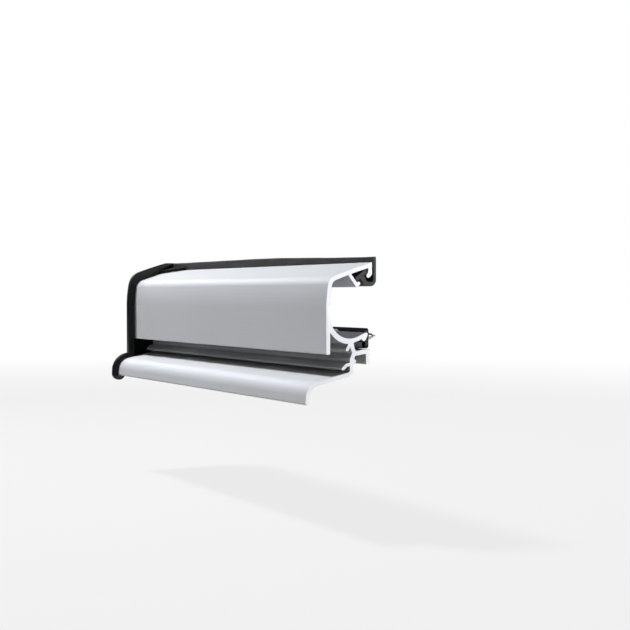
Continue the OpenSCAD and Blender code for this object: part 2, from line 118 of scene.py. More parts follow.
class Shader:
    """Lays the nodes of one material."""

    EDGE_RANGE = (0.52, 0.62)
    # Occlusion range and samples for the painted shade in a piece's own hollows.
    HOLLOW_RANGE = (0.45, 0.70)
    HOLLOW_SAMPLES = 8

    def __init__(self, name: str) -> None:
        """Starts a material with a Principled surface.

        Args:
            name: The name of the material.
        """
        self.material = bpy.data.materials.new(name)
        self.material.use_nodes = True
        self.tree = self.material.node_tree
        self.tree.nodes.clear()
        self.output = self.tree.nodes.new("ShaderNodeOutputMaterial")
        self.surface = self.tree.nodes.new("ShaderNodeBsdfPrincipled")
        self.join(self.surface.outputs["BSDF"], self.output.inputs["Surface"])

    def join(self, source: Socket, target: Socket) -> None:
        """Links one socket to another."""
        self.tree.links.new(source, target)

    def add(self, kind: str, **values: float | tuple) -> bpy.types.Node:
        """Adds a node and sets some of its inputs.

        Args:
            kind: The node's type.
            **values: Input values by the input's name, with spaces as underscores.

        Returns:
            The new node.
        """
        node = self.tree.nodes.new(kind)
        for name, value in values.items():
            node.inputs[name.replace("_", " ")].default_value = value
        return node

    def set(self, **values: float | tuple) -> None:
        """Sets constants on the Principled surface's own sockets."""
        for name, value in values.items():
            self.surface.inputs[name.replace("_", " ")].default_value = value

    def place(self, per_mm: Scale, tilt: float = 0.0) -> Socket:
        """Gives the object's own coordinates, scaled per millimetre.

        Args:
            per_mm: Scale along X, Y and Z for each millimetre.
            tilt: Turn of the pattern about X in radians.

        Returns:
            The vector socket.
        """
        where = self.add("ShaderNodeTexCoord")
        scale = tuple(s * PER_MM for s in per_mm)
        scaled = self.add("ShaderNodeMapping", Scale=scale, Rotation=(tilt, 0.0, 0.0))
        self.join(where.outputs["Object"], scaled.inputs["Vector"])
        return scaled.outputs["Vector"]

    def noise(self, grain: Grain) -> Socket:
        """Gives a noise value from 0 to 1.

        Args:
            grain: The noise's scale, layers and turn.

        Returns:
            The value socket.
        """
        made = self.add("ShaderNodeTexNoise", Scale=1.0, Detail=grain.detail, Roughness=grain.rough)
        self.join(self.place(grain.per_mm, grain.tilt), made.inputs["Vector"])
        return made.outputs["Fac"]

    def span(self, value: Socket, low: float, high: float, start: float = 0.25, stop: float = 0.75) -> Socket:
        """Maps a value to a range.

        Args:
            value: The socket to map.
            low: Result at start.
            high: Result at stop.
            start: Value that gives low.
            stop: Value that gives high.

        Returns:
            The mapped socket.
        """
        made = self.add("ShaderNodeMapRange", From_Min=start, From_Max=stop, To_Min=low, To_Max=high)
        self.join(value, made.inputs["Value"])
        return made.outputs["Result"]

    def tones(
        self, value: Socket, dark: Colour, light: Colour, start: float = 0.3, stop: float = 0.7
    ) -> Socket:
        """Gives a colour between two tones.

        Args:
            value: The socket that picks the tone.
            dark: Tone at start.
            light: Tone at stop.
            start: Value that gives the dark tone.
            stop: Value that gives the light tone.

        Returns:
            The colour socket.
        """
        ramp = self.tree.nodes.new("ShaderNodeValToRGB")
        ramp.color_ramp.elements[0].position = start
        ramp.color_ramp.elements[0].color = (*dark, 1.0)
        ramp.color_ramp.elements[1].position = stop
        ramp.color_ramp.elements[1].color = (*light, 1.0)
        self.join(value, ramp.inputs["Fac"])
        return ramp.outputs["Color"]

    def steps(self, value: Socket, stops: Steps, tint: Colour = WHITE) -> Socket:
        """Gives a grey by a value, between set stops.

        Args:
            value: The socket that picks the grey.
            stops: Values from 0 to 1 with the grey at each.
            tint: The colour of a grey of 1.

        Returns:
            The colour socket.
        """
        ramp = self.tree.nodes.new("ShaderNodeValToRGB")
        while len(ramp.color_ramp.elements) < len(stops):
            ramp.color_ramp.elements.new(0.5)
        for element, (position, grey) in zip(ramp.color_ramp.elements, stops):
            element.position = position
            element.color = (*(grey * part for part in tint), 1.0)
        self.join(value, ramp.inputs["Fac"])
        return ramp.outputs["Color"]

    def worn(self, colour: Socket, bare: Colour, amount: float) -> Socket:
        """Brightens the sharp edges of a colour.

        Args:
            colour: The colour of the open faces.
            bare: The colour of a rubbed edge.
            amount: Share of the rubbed colour on the sharpest edges.

        Returns:
            The colour socket.
        """
        shape = self.add("ShaderNodeNewGeometry")
        return self.mixed(colour, bare, self.span(shape.outputs["Pointiness"], 0.0, amount, *self.EDGE_RANGE))

    def painted_hollow_shade(self, colour: Socket, shade_tone: Colour, reach_mm: float) -> Socket:
        """Paints shade into a colour in the hollows of its own piece, by ambient occlusion.

        Args:
            colour: The colour of the open faces.
            shade_tone: The colour deep in a hollow.
            reach_mm: How near the facing walls of a hollow are, in millimetres.

        Returns:
            The colour socket.
        """
        # Painted shade: occlusion by the piece's own walls darkens the colour where they close round, as
        # shade would.
        hollow = self.add("ShaderNodeAmbientOcclusion", Distance=reach_mm * MM)
        hollow.only_local = True
        hollow.samples = self.HOLLOW_SAMPLES
        return self.mixed(colour, shade_tone, self.span(hollow.outputs["AO"], 1.0, 0.0, *self.HOLLOW_RANGE))

    def mixed(self, colour: Socket, other: Colour, share: Socket) -> Socket:
        """Mixes another colour into a colour.

        Args:
            colour: The colour at a share of 0.
            other: The colour at a share of 1.
            share: The share of the other colour.

        Returns:
            The colour socket.
        """
        mix = self.tree.nodes.new("ShaderNodeMixRGB")
        mix.inputs["Color2"].default_value = (*other, 1.0)
        self.join(share, mix.inputs["Fac"])
        self.join(colour, mix.inputs["Color1"])
        return mix.outputs["Color"]

    def relief(self, height: Socket, relief: Relief, under: Socket | None = None) -> Socket:
        """Gives a normal with a fine relief.

        Args:
            height: The height from 0 to 1.
            relief: Its depth, and the share of it that shows.
            under: A normal below it, if there is one.

        Returns:
            The normal socket.
        """
        bump = self.add("ShaderNodeBump", Strength=relief.share, Distance=relief.depth_mm * MM)
        self.join(height, bump.inputs["Height"])
        if under is not None:
            self.join(under, bump.inputs["Normal"])
        return bump.outputs["Normal"]

    def feed(self, **sockets: Socket) -> None:
        """Links sockets to the Principled surface's inputs by name."""
        for name, socket in sockets.items():
            self.join(socket, self.surface.inputs[name.replace("_", " ")])


# Finishes


@dataclass(frozen=True)
class SatinAluminium:
    """Clear anodised aluminium with faint lines along its drawing direction, and painted shade in its own
    hollows.
    """

    dark: Colour = (0.655, 0.673, 0.705)
    light: Colour = (0.705, 0.723, 0.755)
    edge: Colour = (0.86, 0.87, 0.88)
    edge_wear: float = 0.5
    # Painted shade: the grey mixed in deep in the rail's own hollows, darkening its recesses as shade would.
    shade_tone: Colour = (0.45, 0.45, 0.45)
    hollow_mm: float = 12.0
    smooth: float = 0.44
    rough: float = 0.52
    metal: float = 0.30
    lines: Grain = Grain((0.015, 5.0, 5.0), detail=4.0, rough=0.6)
    cloud: Grain = Grain((0.03, 0.08, 0.08))
    etch: Grain = Grain((14.0, 14.0, 14.0), detail=2.0)
    line_relief: Relief = Relief(0.008, 0.08)
    etch_relief: Relief = Relief(0.004, 0.15)

    def material(self) -> bpy.types.Material:
        """Lays the finish.

        Returns:
            The material.
        """
        shader = Shader("satin_aluminium")
        lines = shader.noise(self.lines)
        # The tone is darkened in the rail's own hollows with painted shade.
        tone = shader.painted_hollow_shade(shader.tones(lines, self.dark, self.light), self.shade_tone, self.hollow_mm)
        drawn = shader.relief(lines, self.line_relief)
        shader.set(Metallic=self.metal)
        shader.feed(
            Base_Color=shader.worn(tone, self.edge, self.edge_wear),
            Roughness=shader.span(shader.noise(self.cloud), self.smooth, self.rough),
            Normal=shader.relief(shader.noise(self.etch), self.etch_relief, drawn),
        )
        return shader.material


@dataclass(frozen=True)
class SawnAluminium:
    """Bare aluminium at a saw cut, bright, with fine curved blade marks."""

    dark: Colour = (0.86, 0.862, 0.865)
    light: Colour = (0.94, 0.942, 0.945)
    smooth: float = 0.36
    rough: float = 0.55
    metal: float = 0.4
    marks: Grain = Grain((0.2, 0.2, 1.1), detail=3.0, tilt=math.radians(28.0))
    mark_wander: float = 1.4
    mark_relief: Relief = Relief(0.02, 0.2)
    grain: Grain = Grain((3.0, 1.0, 9.0), tilt=math.radians(28.0))

    def material(self) -> bpy.types.Material:
        """Lays the finish.

        Returns:
            The material.
        """
        shader = Shader("sawn_aluminium")
        detail = self.marks.detail
        marks = shader.add("ShaderNodeTexWave", Scale=1.0, Distortion=self.mark_wander, Detail=detail)
        marks.bands_direction = "Z"
        shader.join(shader.place(self.marks.per_mm, self.marks.tilt), marks.inputs["Vector"])
        grain = shader.noise(self.grain)
        shader.set(Metallic=self.metal)
        shader.feed(
            Base_Color=shader.tones(grain, self.dark, self.light),
            Roughness=shader.span(grain, self.smooth, self.rough),
            Normal=shader.relief(marks.outputs["Fac"], self.mark_relief),
        )
        return shader.material


@dataclass(frozen=True)
class MouldedPlastic:
    """Black moulded plastic with a fine spark-eroded grain."""

    dark: Colour = (0.0045, 0.0042, 0.0040)
    light: Colour = (0.0085, 0.0082, 0.0080)
    edge: Colour = (0.024, 0.024, 0.024)
    edge_wear: float = 0.6
    smooth: float = 0.34
    rough: float = 0.46
    gloss: float = 0.22
    grain: Grain = Grain((5.0, 5.0, 5.0), detail=4.0, rough=0.6)
    grain_relief: Relief = Relief(0.02, 0.22)
    cloud: Grain = Grain((0.12, 0.12, 0.12))

    def material(self) -> bpy.types.Material:
        """Lays the finish.

        Returns:
            The material.
        """
        shader = Shader("black_plastic")
        cloud = shader.noise(self.cloud)
        tone = shader.tones(cloud, self.dark, self.light)
        shader.set(Specular_IOR_Level=self.gloss)
        shader.feed(
            Base_Color=shader.worn(tone, self.edge, self.edge_wear),
            Roughness=shader.span(cloud, self.smooth, self.rough),
            Normal=shader.relief(shader.noise(self.grain), self.grain_relief),
        )
        return shader.material


@dataclass(frozen=True)
class SealRubber:
    """Black extruded rubber, matt, with a faint grey bloom in lines along its length."""

    dark: Colour = (0.028, 0.0271, 0.027)
    light: Colour = (0.058, 0.0562, 0.056)
    smooth: float = 0.50
    rough: float = 0.66
    gloss: float = 0.45
    lines: Grain = Grain((0.03, 3.0, 3.0))
    line_relief: Relief = Relief(0.015, 0.2)
    bloom: Grain = Grain((0.06, 0.3, 0.3), detail=4.0)
    pores: Grain = Grain((7.0, 7.0, 7.0))
    pore_relief: Relief = Relief(0.01, 0.2)

    def material(self) -> bpy.types.Material:
        """Lays the finish.

        Returns:
            The material.
        """
        shader = Shader("black_rubber")
        bloom = shader.noise(self.bloom)
        drawn = shader.relief(shader.noise(self.lines), self.line_relief)
        shader.set(Specular_IOR_Level=self.gloss)
        shader.feed(
            Base_Color=shader.tones(bloom, self.dark, self.light),
            Roughness=shader.span(bloom, self.smooth, self.rough),
            Normal=shader.relief(shader.noise(self.pores), self.pore_relief, drawn),
        )
        return shader.material


@dataclass(frozen=True)
class CellFoam:
    """Dark closed-cell foam, cut from a sheet."""

    dark: Colour = (0.020, 0.020, 0.021)
    light: Colour = (0.055, 0.055, 0.057)
    smooth: float = 0.80
    rough: float = 0.95
    gloss: float = 0.3
    cells_per_mm: Scale = (2.2, 2.2, 2.2)
    cell_range: tuple[float, float] = (0.05, 0.6)
    cell_relief: Relief = Relief(0.12, 0.5)
    fine: Grain = Grain((4.0, 4.0, 4.0))
    fine_relief: Relief = Relief(0.05, 0.3)

    def material(self) -> bpy.types.Material:
        """Lays the finish.

        Returns:
            The material.
        """
        shader = Shader("dark_foam")
        cells = shader.add("ShaderNodeTexVoronoi", Scale=1.0, Randomness=1.0)
        shader.join(shader.place(self.cells_per_mm), cells.inputs["Vector"])
        cell = cells.outputs["Distance"]
        fine = shader.noise(self.fine)
        coarse = shader.relief(cell, self.cell_relief)
        shader.set(Specular_IOR_Level=self.gloss)
        shader.feed(
            Base_Color=shader.tones(cell, self.light, self.dark, *self.cell_range),
            Roughness=shader.span(fine, self.smooth, self.rough),
            Normal=shader.relief(fine, self.fine_relief, coarse),
        )
        return shader.material


@dataclass(frozen=True)
class ZincPlate:
    """Bright zinc plate on a cold-formed screw."""

    dark: Colour = (0.56, 0.585, 0.62)
    light: Colour = (0.76, 0.775, 0.78)
    edge: Colour = (0.86, 0.86, 0.85)
    edge_wear: float = 0.5
    smooth: float = 0.22
    rough: float = 0.38
    cloud: Grain = Grain((0.5, 0.5, 0.5), detail=4.0)
    grain: Grain = Grain((9.0, 9.0, 9.0))
    grain_relief: Relief = Relief(0.01, 0.15)

    def material(self) -> bpy.types.Material:
        """Lays the finish.

        Returns:
            The material.
        """
        shader = Shader("zinc_steel")
        cloud = shader.noise(self.cloud)
        tone = shader.tones(cloud, self.dark, self.light)
        shader.set(Metallic=1.0)
        shader.feed(
            Base_Color=shader.worn(tone, self.edge, self.edge_wear),
            Roughness=shader.span(cloud, self.smooth, self.rough),
            Normal=shader.relief(shader.noise(self.grain), self.grain_relief),
        )
        return shader.material


# Outlines and meshes


@dataclass
class Outline:
    """A closed outline across the rail, as (y, z) points in counterclockwise order."""

    points: Ring

    @classmethod
    def of_end_face(cls, node: str, x: float) -> "Outline":
        """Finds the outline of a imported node's flat end.

        Args:
            node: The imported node.
            x: The place of the flat end along the rail.

        Returns:
            The longest closed outline of the faces in that plane.
        """
        mesh = frame["nodes"][node].data
        grid = 1.0 / SAME_PLACE

        def key(index: int) -> Cell:
            """Names a vertex by its place across the rail."""
            place = mesh.vertices[index].co
            return round(place.y * grid), round(place.z * grid)

        sides: Counter[frozenset[Cell]] = Counter()
        for face in mesh.polygons:
            if all(abs(mesh.vertices[i].co.x - x) < SAME_PLACE for i in face.vertices):
                keys = [key(i) for i in face.vertices]
                sides.update(frozenset(pair) for pair in zip(keys, keys[1:] + keys[:1]) if pair[0] != pair[1])
        rims = chained([tuple(side) for side, times in sides.items() if times == 1])
        found = cls([Vector((y / grid, z / grid)) for y, z in max(rims, key=len)])
        return found if found.area() > 0 else cls(found.points[::-1])

    def area(self) -> float:
        """The signed area, positive when the points run counterclockwise."""
        ahead = self.points[1:] + self.points[:1]
        return sum(a.x * b.y - b.x * a.y for a, b in zip(self.points, ahead)) / 2

    def turns(self) -> list[float]:
        """Measures the turn of the outline at each point.

        Returns:
            The turns in radians, positive to the left.
        """
        back = self.points[-1:] + self.points[:-1]
        ahead = self.points[1:] + self.points[:1]
        return [(c - b).angle_signed(b - a, 0.0) for a, b, c in zip(back, self.points, ahead)]

    def rounded(self, reach: float, steps: int = 4) -> "Outline":
        """Rounds the sharp corners.

        Args:
            reach: How far a rounding reaches along each side of its corner.
            steps: Number of segments in a rounding.

        Returns:
            The rounded outline.
        """
        corners = [i for i, turn in enumerate(self.turns()) if abs(turn) > CORNER_ANGLE]
        if len(corners) < 2:
            return self
        chains = []
        for here, there in zip(corners, corners[1:] + [corners[0] + len(self.points)]):
            chain = [self.points[i % len(self.points)] for i in range(here, there + 1)]
            length = sum((b - a).length for a, b in zip(chain, chain[1:]))
            chains.append(trimmed(chain, min(reach, MOST_ROUNDED * length)))
        made: Ring = []
        for chain, ahead, corner in zip(chains, chains[1:] + chains[:1], corners[1:] + corners[:1]):
            made += chain
            tip = self.points[corner]
            for step in range(1, steps):
                t = step / steps
                made.append(chain[-1] * (1 - t) ** 2 + tip * 2 * t * (1 - t) + ahead[0] * t**2)
        return Outline(made)

    def braced(self, brace: float) -> "Outline":
        """Adds a point near both ends of each long side, so that its shading stays flat.

        Args:
            brace: Distance of the added points from the ends.

        Returns:
            The outline with the added points.
        """
        made: Ring = []
        for a, b in zip(self.points, self.points[1:] + self.points[:1]):
            made.append(a)
            way = b - a
            if way.length > 4 * brace:
                made += [a + way.normalized() * brace, b - way.normalized() * brace]
        return Outline(made)

    def moved_in(self, distance: float) -> "Outline":
        """Moves the outline inwards.

        Args:
            distance: How far it moves.

        Returns:
            The smaller outline, with the same number of points.
        """
        made: Ring = []
        back = self.points[-1:] + self.points[:-1]
        ahead = self.points[1:] + self.points[:1]
        for a, b, c in zip(back, self.points, ahead):
            before, after = (b - a).normalized(), (c - b).normalized()
            mitre = Vector((-before.y - after.y, before.x + after.x)).normalized()
            share = max(LEAST_MITRE, mitre.dot(Vector((-before.y, before.x))))
            made.append(b + mitre * distance / share)
        return Outline(made)

    def at(self, x: float) -> Ring:
        """Places the outline in the plane at x."""
        return [Vector((x, p.x, p.y)) for p in self.points]


def chained(edges: Sequence[tuple[Cell, Cell]]) -> list[list[Cell]]:
    """Joins edges end to end.

    Args:
        edges: The edges of some closed loops, each by its two ends.

    Returns:
        The loops, each by its corners in order.
    """
    ways: dict[Cell, list[Cell]] = {}
    for a, b in edges:
        ways.setdefault(a, []).append(b)
        ways.setdefault(b, []).append(a)
    loops = []
    while ways:
        start = min(ways)
        loop = [start]
        while ways.get(loop[-1]):
            ahead = ways[loop[-1]].pop()
            ways[ahead].remove(loop[-1])
            if ahead == start:
                break
            loop.append(ahead)
        ways = {corner: others for corner, others in ways.items() if others}
        loops.append(loop)
    return loops


def trimmed(chain: Ring, cut: float) -> Ring:
    """Cuts a length off both ends of a chain of points.

    Args:
        chain: The points in order.
        cut: The length to cut off each end.

    Returns:
        The shorter chain.
    """

    def cut_start(points: Ring) -> Ring:
        """Cuts the start of a chain.

        Args:
            points: The points in order.

        Returns:
            The chain without its start.
        """
        left = cut
        for i, (a, b) in enumerate(zip(points, points[1:])):
            step = (b - a).length
            if step > left:
                return [a + (b - a) * left / step, *points[i + 1 :]]
            left -= step
        return points[-1:]

    return cut_start(cut_start(chain)[::-1])[::-1]


def swept(name: str, rings: Sequence[Ring]) -> bpy.types.Object:
    """Skins a row of rings and closes its ends.

    Args:
        name: The name of the new object.
        rings: Rings with the same number of points, in order along the rail.

    Returns:
        The new object, with its two end faces in the second material slot.
    """
    count = len(rings[0])
    faces = []
    for row in range(len(rings) - 1):
        low, high = row * count, (row + 1) * count
        faces += [(low + i, low + (i + 1) % count, high + (i + 1) % count, high + i) for i in range(count)]
    last = (len(rings) - 1) * count
    faces.append(tuple(reversed(range(count))))
    faces.append(tuple(range(last, last + count)))
    mesh = bpy.data.meshes.new(name)
    mesh.from_pydata([p for ring in rings for p in ring], [], faces)
    for face in mesh.polygons[-2:]:
        face.material_index = RailSkin.SAWN.value
    return placed(name, mesh)


def placed(name: str, mesh: bpy.types.Mesh) -> bpy.types.Object:
    """Puts a mesh in the scene with smooth faces and creased edges.

    Args:
        name: The name of the new object.
        mesh: Its mesh.

    Returns:
        The new object.
    """
    mesh.validate()
    mesh.shade_smooth()
    mesh.set_sharp_from_angle(angle=CREASE_ANGLE)
    made = bpy.data.objects.new(name, mesh)
    bpy.context.scene.collection.objects.link(made)
    return made


def carved(target: bpy.types.Object, cutters: Sequence[bpy.types.Object]) -> None:
    """Cuts closed forms out of an object and removes them.

    Args:
        target: The object to cut.
        cutters: The forms to cut out.
    """
    for cutter in cutters:
        cut = target.modifiers.new("cut", "BOOLEAN")
        cut.operation = "DIFFERENCE"
        cut.solver = "EXACT"
        cut.object = cutter
    shape = target.evaluated_get(bpy.context.evaluated_depsgraph_get())
    old = target.data
    target.data = bpy.data.meshes.new_from_object(shape)
    target.modifiers.clear()
    target.data.set_sharp_from_angle(angle=CREASE_ANGLE)
    bpy.data.meshes.remove(old)
    for cutter in cutters:
        bpy.data.objects.remove(cutter)


def welded(node: str) -> bmesh.types.BMesh:
    """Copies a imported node's mesh with its flat faces joined up.

    Args:
        node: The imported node.

    Returns:
        The copy.
    """
    shape = bmesh.new()
    shape.from_mesh(frame["nodes"][node].data)
    bmesh.ops.remove_doubles(shape, verts=shape.verts, dist=SAME_PLACE)
    bmesh.ops.dissolve_limit(shape, angle_limit=FLAT_ANGLE, verts=shape.verts, edges=shape.edges)
    return shape


def softened(
    shape: bmesh.types.BMesh, wanted: Callable[[bmesh.types.BMEdge], bool], reach: float, steps: int
) -> None:
    """Rounds some edges of a shape.

    Args:
        shape: The shape.
        wanted: Says whether an edge is rounded.
        reach: How far the rounding reaches on each face.
        steps: Number of segments in the rounding.
    """
    edges = [edge for edge in shape.edges if len(edge.link_faces) == 2 and wanted(edge)]
    bmesh.ops.bevel(
        shape, geom=edges, offset=reach, offset_type="OFFSET", segments=steps, profile=0.5,
        affect="EDGES", clamp_overlap=False,
    )


def finished(shape: bmesh.types.BMesh, name: str) -> bpy.types.Object:
    """Turns a shape into an object.

    Args:
        shape: The shape, which is freed.
        name: The name of the new object.

    Returns:
        The new object.
    """
    mesh = bpy.data.meshes.new(name)
    bmesh.ops.recalc_face_normals(shape, faces=shape.faces)
    shape.to_mesh(mesh)
    shape.free()
    return placed(name, mesh)


def dressed(piece: bpy.types.Object, body: str, node: str, slot: str, *finishes: bpy.types.Material) -> None:
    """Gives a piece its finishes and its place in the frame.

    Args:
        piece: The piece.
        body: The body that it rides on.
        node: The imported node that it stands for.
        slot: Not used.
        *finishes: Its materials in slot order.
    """
    piece.data.materials.clear()
    for finish in finishes:
        piece.data.materials.append(finish)
    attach(piece, body)
    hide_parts(node)


# The strip's pieces


@dataclass
class RainRail:
    """The aluminium rail: its drawn section, its saw cuts and its two drain slots."""

    node: str = "rain_rail"
    corner_reach: float = 0.22 * MM
    edge_break: float = 0.05 * MM
    brace: float = 0.15 * MM
    stations: int = 9
    slot_sides: int = 24
    slot_extra: float = 0.5 * MM

    def build(self) -> bpy.types.Object:
        """Sweeps the section and cuts the slots.

        Returns:
            The rail.
        """
        low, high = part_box(self.node)
        section = Outline.of_end_face(self.node, high.x).rounded(self.corner_reach).braced(self.brace)
        small = section.moved_in(self.edge_break)
        start, stop = low.x + self.edge_break, high.x - self.edge_break
        first, last = start + 2 * self.brace, stop - 2 * self.brace
        places = [first + (last - first) * step / self.stations for step in range(self.stations + 1)]
        places = [start, start + self.brace, *places, stop - self.brace, stop]
        rail = swept("rail_extrusion", [small.at(low.x), *map(section.at, places), small.at(high.x)])
        carved(rail, [self.slot_cutter(sign) for sign in (-1, 1)])
        return rail

    def slot_cutter(self, sign: int) -> bpy.types.Object:
        """Makes the form of one drain slot.

        Args:
            sign: -1 for the slot at the capped end, 1 for the one at the cut end.

        Returns:
            The closed form, a little taller than the slot.
        """
        _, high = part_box(self.node)
        inner = [
            v.co for v in frame["nodes"][self.node].data.vertices
            if abs(v.co.x) < high.x - MM and v.co.x * sign > 0
        ]
        low = Vector(min(p[i] for p in inner) for i in range(3))
        top = Vector(max(p[i] for p in inner) for i in range(3))
        radius = (top.y - low.y) / 2
        ring = []
        for step in range(2 * self.slot_sides):
            turn = 2 * math.pi * (step + 0.5) / (2 * self.slot_sides)
            end = top.x - radius if math.cos(turn) > 0 else low.x + radius
            ring.append((end + radius * math.cos(turn), (low.y + top.y) / 2 + radius * math.sin(turn)))
        levels = [low.z - self.slot_extra, top.z + self.slot_extra]
        return swept("slot_cutter", [[Vector((x, y, z)) for x, y in ring] for z in levels])

    def dress(self, piece: bpy.types.Object) -> None:
        """Dresses the rail in satin aluminium with bright cuts."""
        finishes = SatinAluminium().material(), SawnAluminium().material()
        dressed(piece, "rail", self.node, "satin_aluminium", *finishes)


@dataclass
class TopGasket:
    """The rubber gasket in the rail's top channel, with a lip that sags at its cut end."""

    node: str = "top_gasket"
    corner_reach: float = 0.3 * MM
    edge_break: float = 0.06 * MM
    stations: int = 48
    sag: float = 1.35 * MM
    sag_length: float = 80.0 * MM
    sag_depth: float = 4.0 * MM
    ripple: float = 0.05 * MM
    ripple_length: float = 23.0 * MM

    def build(self) -> bpy.types.Object:
        """Sweeps the section, with its lip sagging towards the cut.

        Returns:
            The gasket.
        """
        low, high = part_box(self.node)
        section = Outline.of_end_face(self.node, high.x).rounded(self.corner_reach)
        small = section.moved_in(self.edge_break)
        start, stop = low.x + self.edge_break, high.x - self.edge_break
        rings = [small.at(low.x)]
        rings += [section.at(start + (stop - start) * i / self.stations) for i in range(self.stations + 1)]
        rings.append(small.at(high.x))
        for ring in rings:
            for point in ring:
                point.z -= self.drop(point, high)
        return swept("top_gasket_lip", rings)

    def drop(self, point: Vector, high: Vector) -> float:
        """Says how far a point of the lip hangs down.

        Args:
            point: The point at rest.
            high: The highest corner of the gasket.

        Returns:
            The drop, nothing below the lip.
        """
        lip = min(1.0, max(0.0, 1.0 - (high.z - point.z) / self.sag_depth))
        near_cut = min(1.0, max(0.0, 1.0 - (high.x - point.x) / self.sag_length))
        wave = 0.5 + 0.5 * math.sin(2 * math.pi * point.x / self.ripple_length)
        return lip * (self.sag * near_cut * near_cut * (3 - 2 * near_cut) + self.ripple * wave)

    def dress(self, piece: bpy.types.Object) -> None:
        """Dresses the gasket in rubber."""
        rubber = SealRubber().material()
        dressed(piece, "rail", self.node, "black_rubber", rubber, rubber)


@dataclass
class EndCap:
    """The moulded cap, with rounded outer edges."""

    node: str = "end_cap"
    outer_reach: float = 0.9 * MM
    collar_reach: float = 0.35 * MM
    flap_reach: float = 0.2 * MM
    flap_depth: float = 3.0 * MM
    rim_grid: float = 0.01 * MM
    steps: int = 5

    def build(self) -> bpy.types.Object:
        """Rounds the edges of the plate, of the collar and of the flap.

        Returns:
            The cap.
        """
        low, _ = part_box(self.node)
        rim = Outline.of_end_face(self.node, low.x)
        rail_low, rail_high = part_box("rain_rail")
        shape = welded(self.node)
        collar_end = max(v.co.x for v in shape.verts if v.co.z < rail_low.z)
        grid = 1.0 / self.rim_grid
        cells = [(round(p.x * grid), round(p.y * grid)) for p in rim.points]
        outer = {(y + i, z + j) for y, z in cells for i in (-1, 0, 1) for j in (-1, 0, 1)}

        def on_rim(edge: bmesh.types.BMEdge) -> bool:
            """Says whether an edge lies on the cap's outer outline."""
            return all((round(v.co.y * grid), round(v.co.z * grid)) in outer for v in edge.verts)

        def across(edge: bmesh.types.BMEdge) -> bool:
            """Says whether an edge lies across the rail."""
            return abs(edge.verts[0].co.x - edge.verts[1].co.x) < SAME_PLACE

        def at_plate(edge: bmesh.types.BMEdge) -> bool:
            """Says whether an edge lies on the plate's outer face."""
            return across(edge) and abs(edge.verts[0].co.x - low.x) < SAME_PLACE

        def at_collar(edge: bmesh.types.BMEdge) -> bool:
            """Says whether an edge lies on the outside of the collar's end."""
            return across(edge) and edge.verts[0].co.x > rail_low.x and on_rim(edge)

        def on_flap(edge: bmesh.types.BMEdge) -> bool:
            """Says whether an edge is a sharp one of the flap on the flange.

            Args:
                edge: The edge.

            Returns:
                True for an edge of the flap that is rounded.
            """
            beyond = all(v.co.x > collar_end + SAME_PLACE for v in edge.verts)
            above = all(v.co.z > rail_high.z - self.flap_depth for v in edge.verts)
            return beyond and above and edge.is_convex and edge.calc_face_angle(0.0) > CREASE_ANGLE

        softened(shape, at_plate, self.outer_reach, self.steps)
        softened(shape, at_collar, self.collar_reach, self.steps)
        softened(shape, on_flap, self.flap_reach, self.steps)
        return finished(shape, "end_cap_moulding")

    def dress(self, piece: bpy.types.Object) -> None:
        """Dresses the cap in black plastic."""
        dressed(piece, "cap", self.node, "black_plastic", MouldedPlastic().material())


@dataclass
class EndCapSeal:
    """The foam seal on the cap's outer face, cut from a sheet with slightly crushed edges."""

    node: str = "end_cap_seal"
    corner_reach: float = 0.5 * MM
    crush: float = 0.35 * MM
    steps: int = 4

    def build(self) -> bpy.types.Object:
        """Sweeps the outline with a rounded outer edge.

        Returns:
            The seal.
        """
        low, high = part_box(self.node)
        section = Outline.of_end_face(self.node, low.x).rounded(self.corner_reach)
        rings = []
        for step in range(self.steps + 1):
            turn = math.pi / 2 * step / self.steps
            inset, depth = self.crush * (1 - math.sin(turn)), self.crush * (1 - math.cos(turn))
            rings.append(section.moved_in(inset).at(low.x + depth))
        rings.append(section.at(high.x))
        return swept("end_cap_foam", rings)

    def dress(self, piece: bpy.types.Object) -> None:
        """Dresses the seal in foam."""
        foam = CellFoam().material()
        dressed(piece, "cap", self.node, "dark_foam", foam, foam)


@dataclass
class ClipHolder:
    """One moulded clip holder, with lightly rounded edges."""

    side: Side
    reach: float = 0.07 * MM
    steps: int = 2

    @property
    def node(self) -> str:
        """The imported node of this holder."""
        return f"clip_holder_{self.side.value}"

    def build(self) -> bpy.types.Object:
        """Rounds the holder's outer edges.

        Returns:
            The holder.
        """
        shape = welded(self.node)

        def outer(edge: bmesh.types.BMEdge) -> bool:
            """Says whether an edge is a sharp outer one."""
            return edge.is_convex and edge.calc_face_angle(0.0) > CREASE_ANGLE

        softened(shape, outer, self.reach, self.steps)
        return finished(shape, f"holder_moulding_{self.side.value}")

    def dress(self, piece: bpy.types.Object) -> None:
        """Dresses the holder in black plastic."""
        dressed(piece, "fixing", self.node, "black_plastic", MouldedPlastic().material())


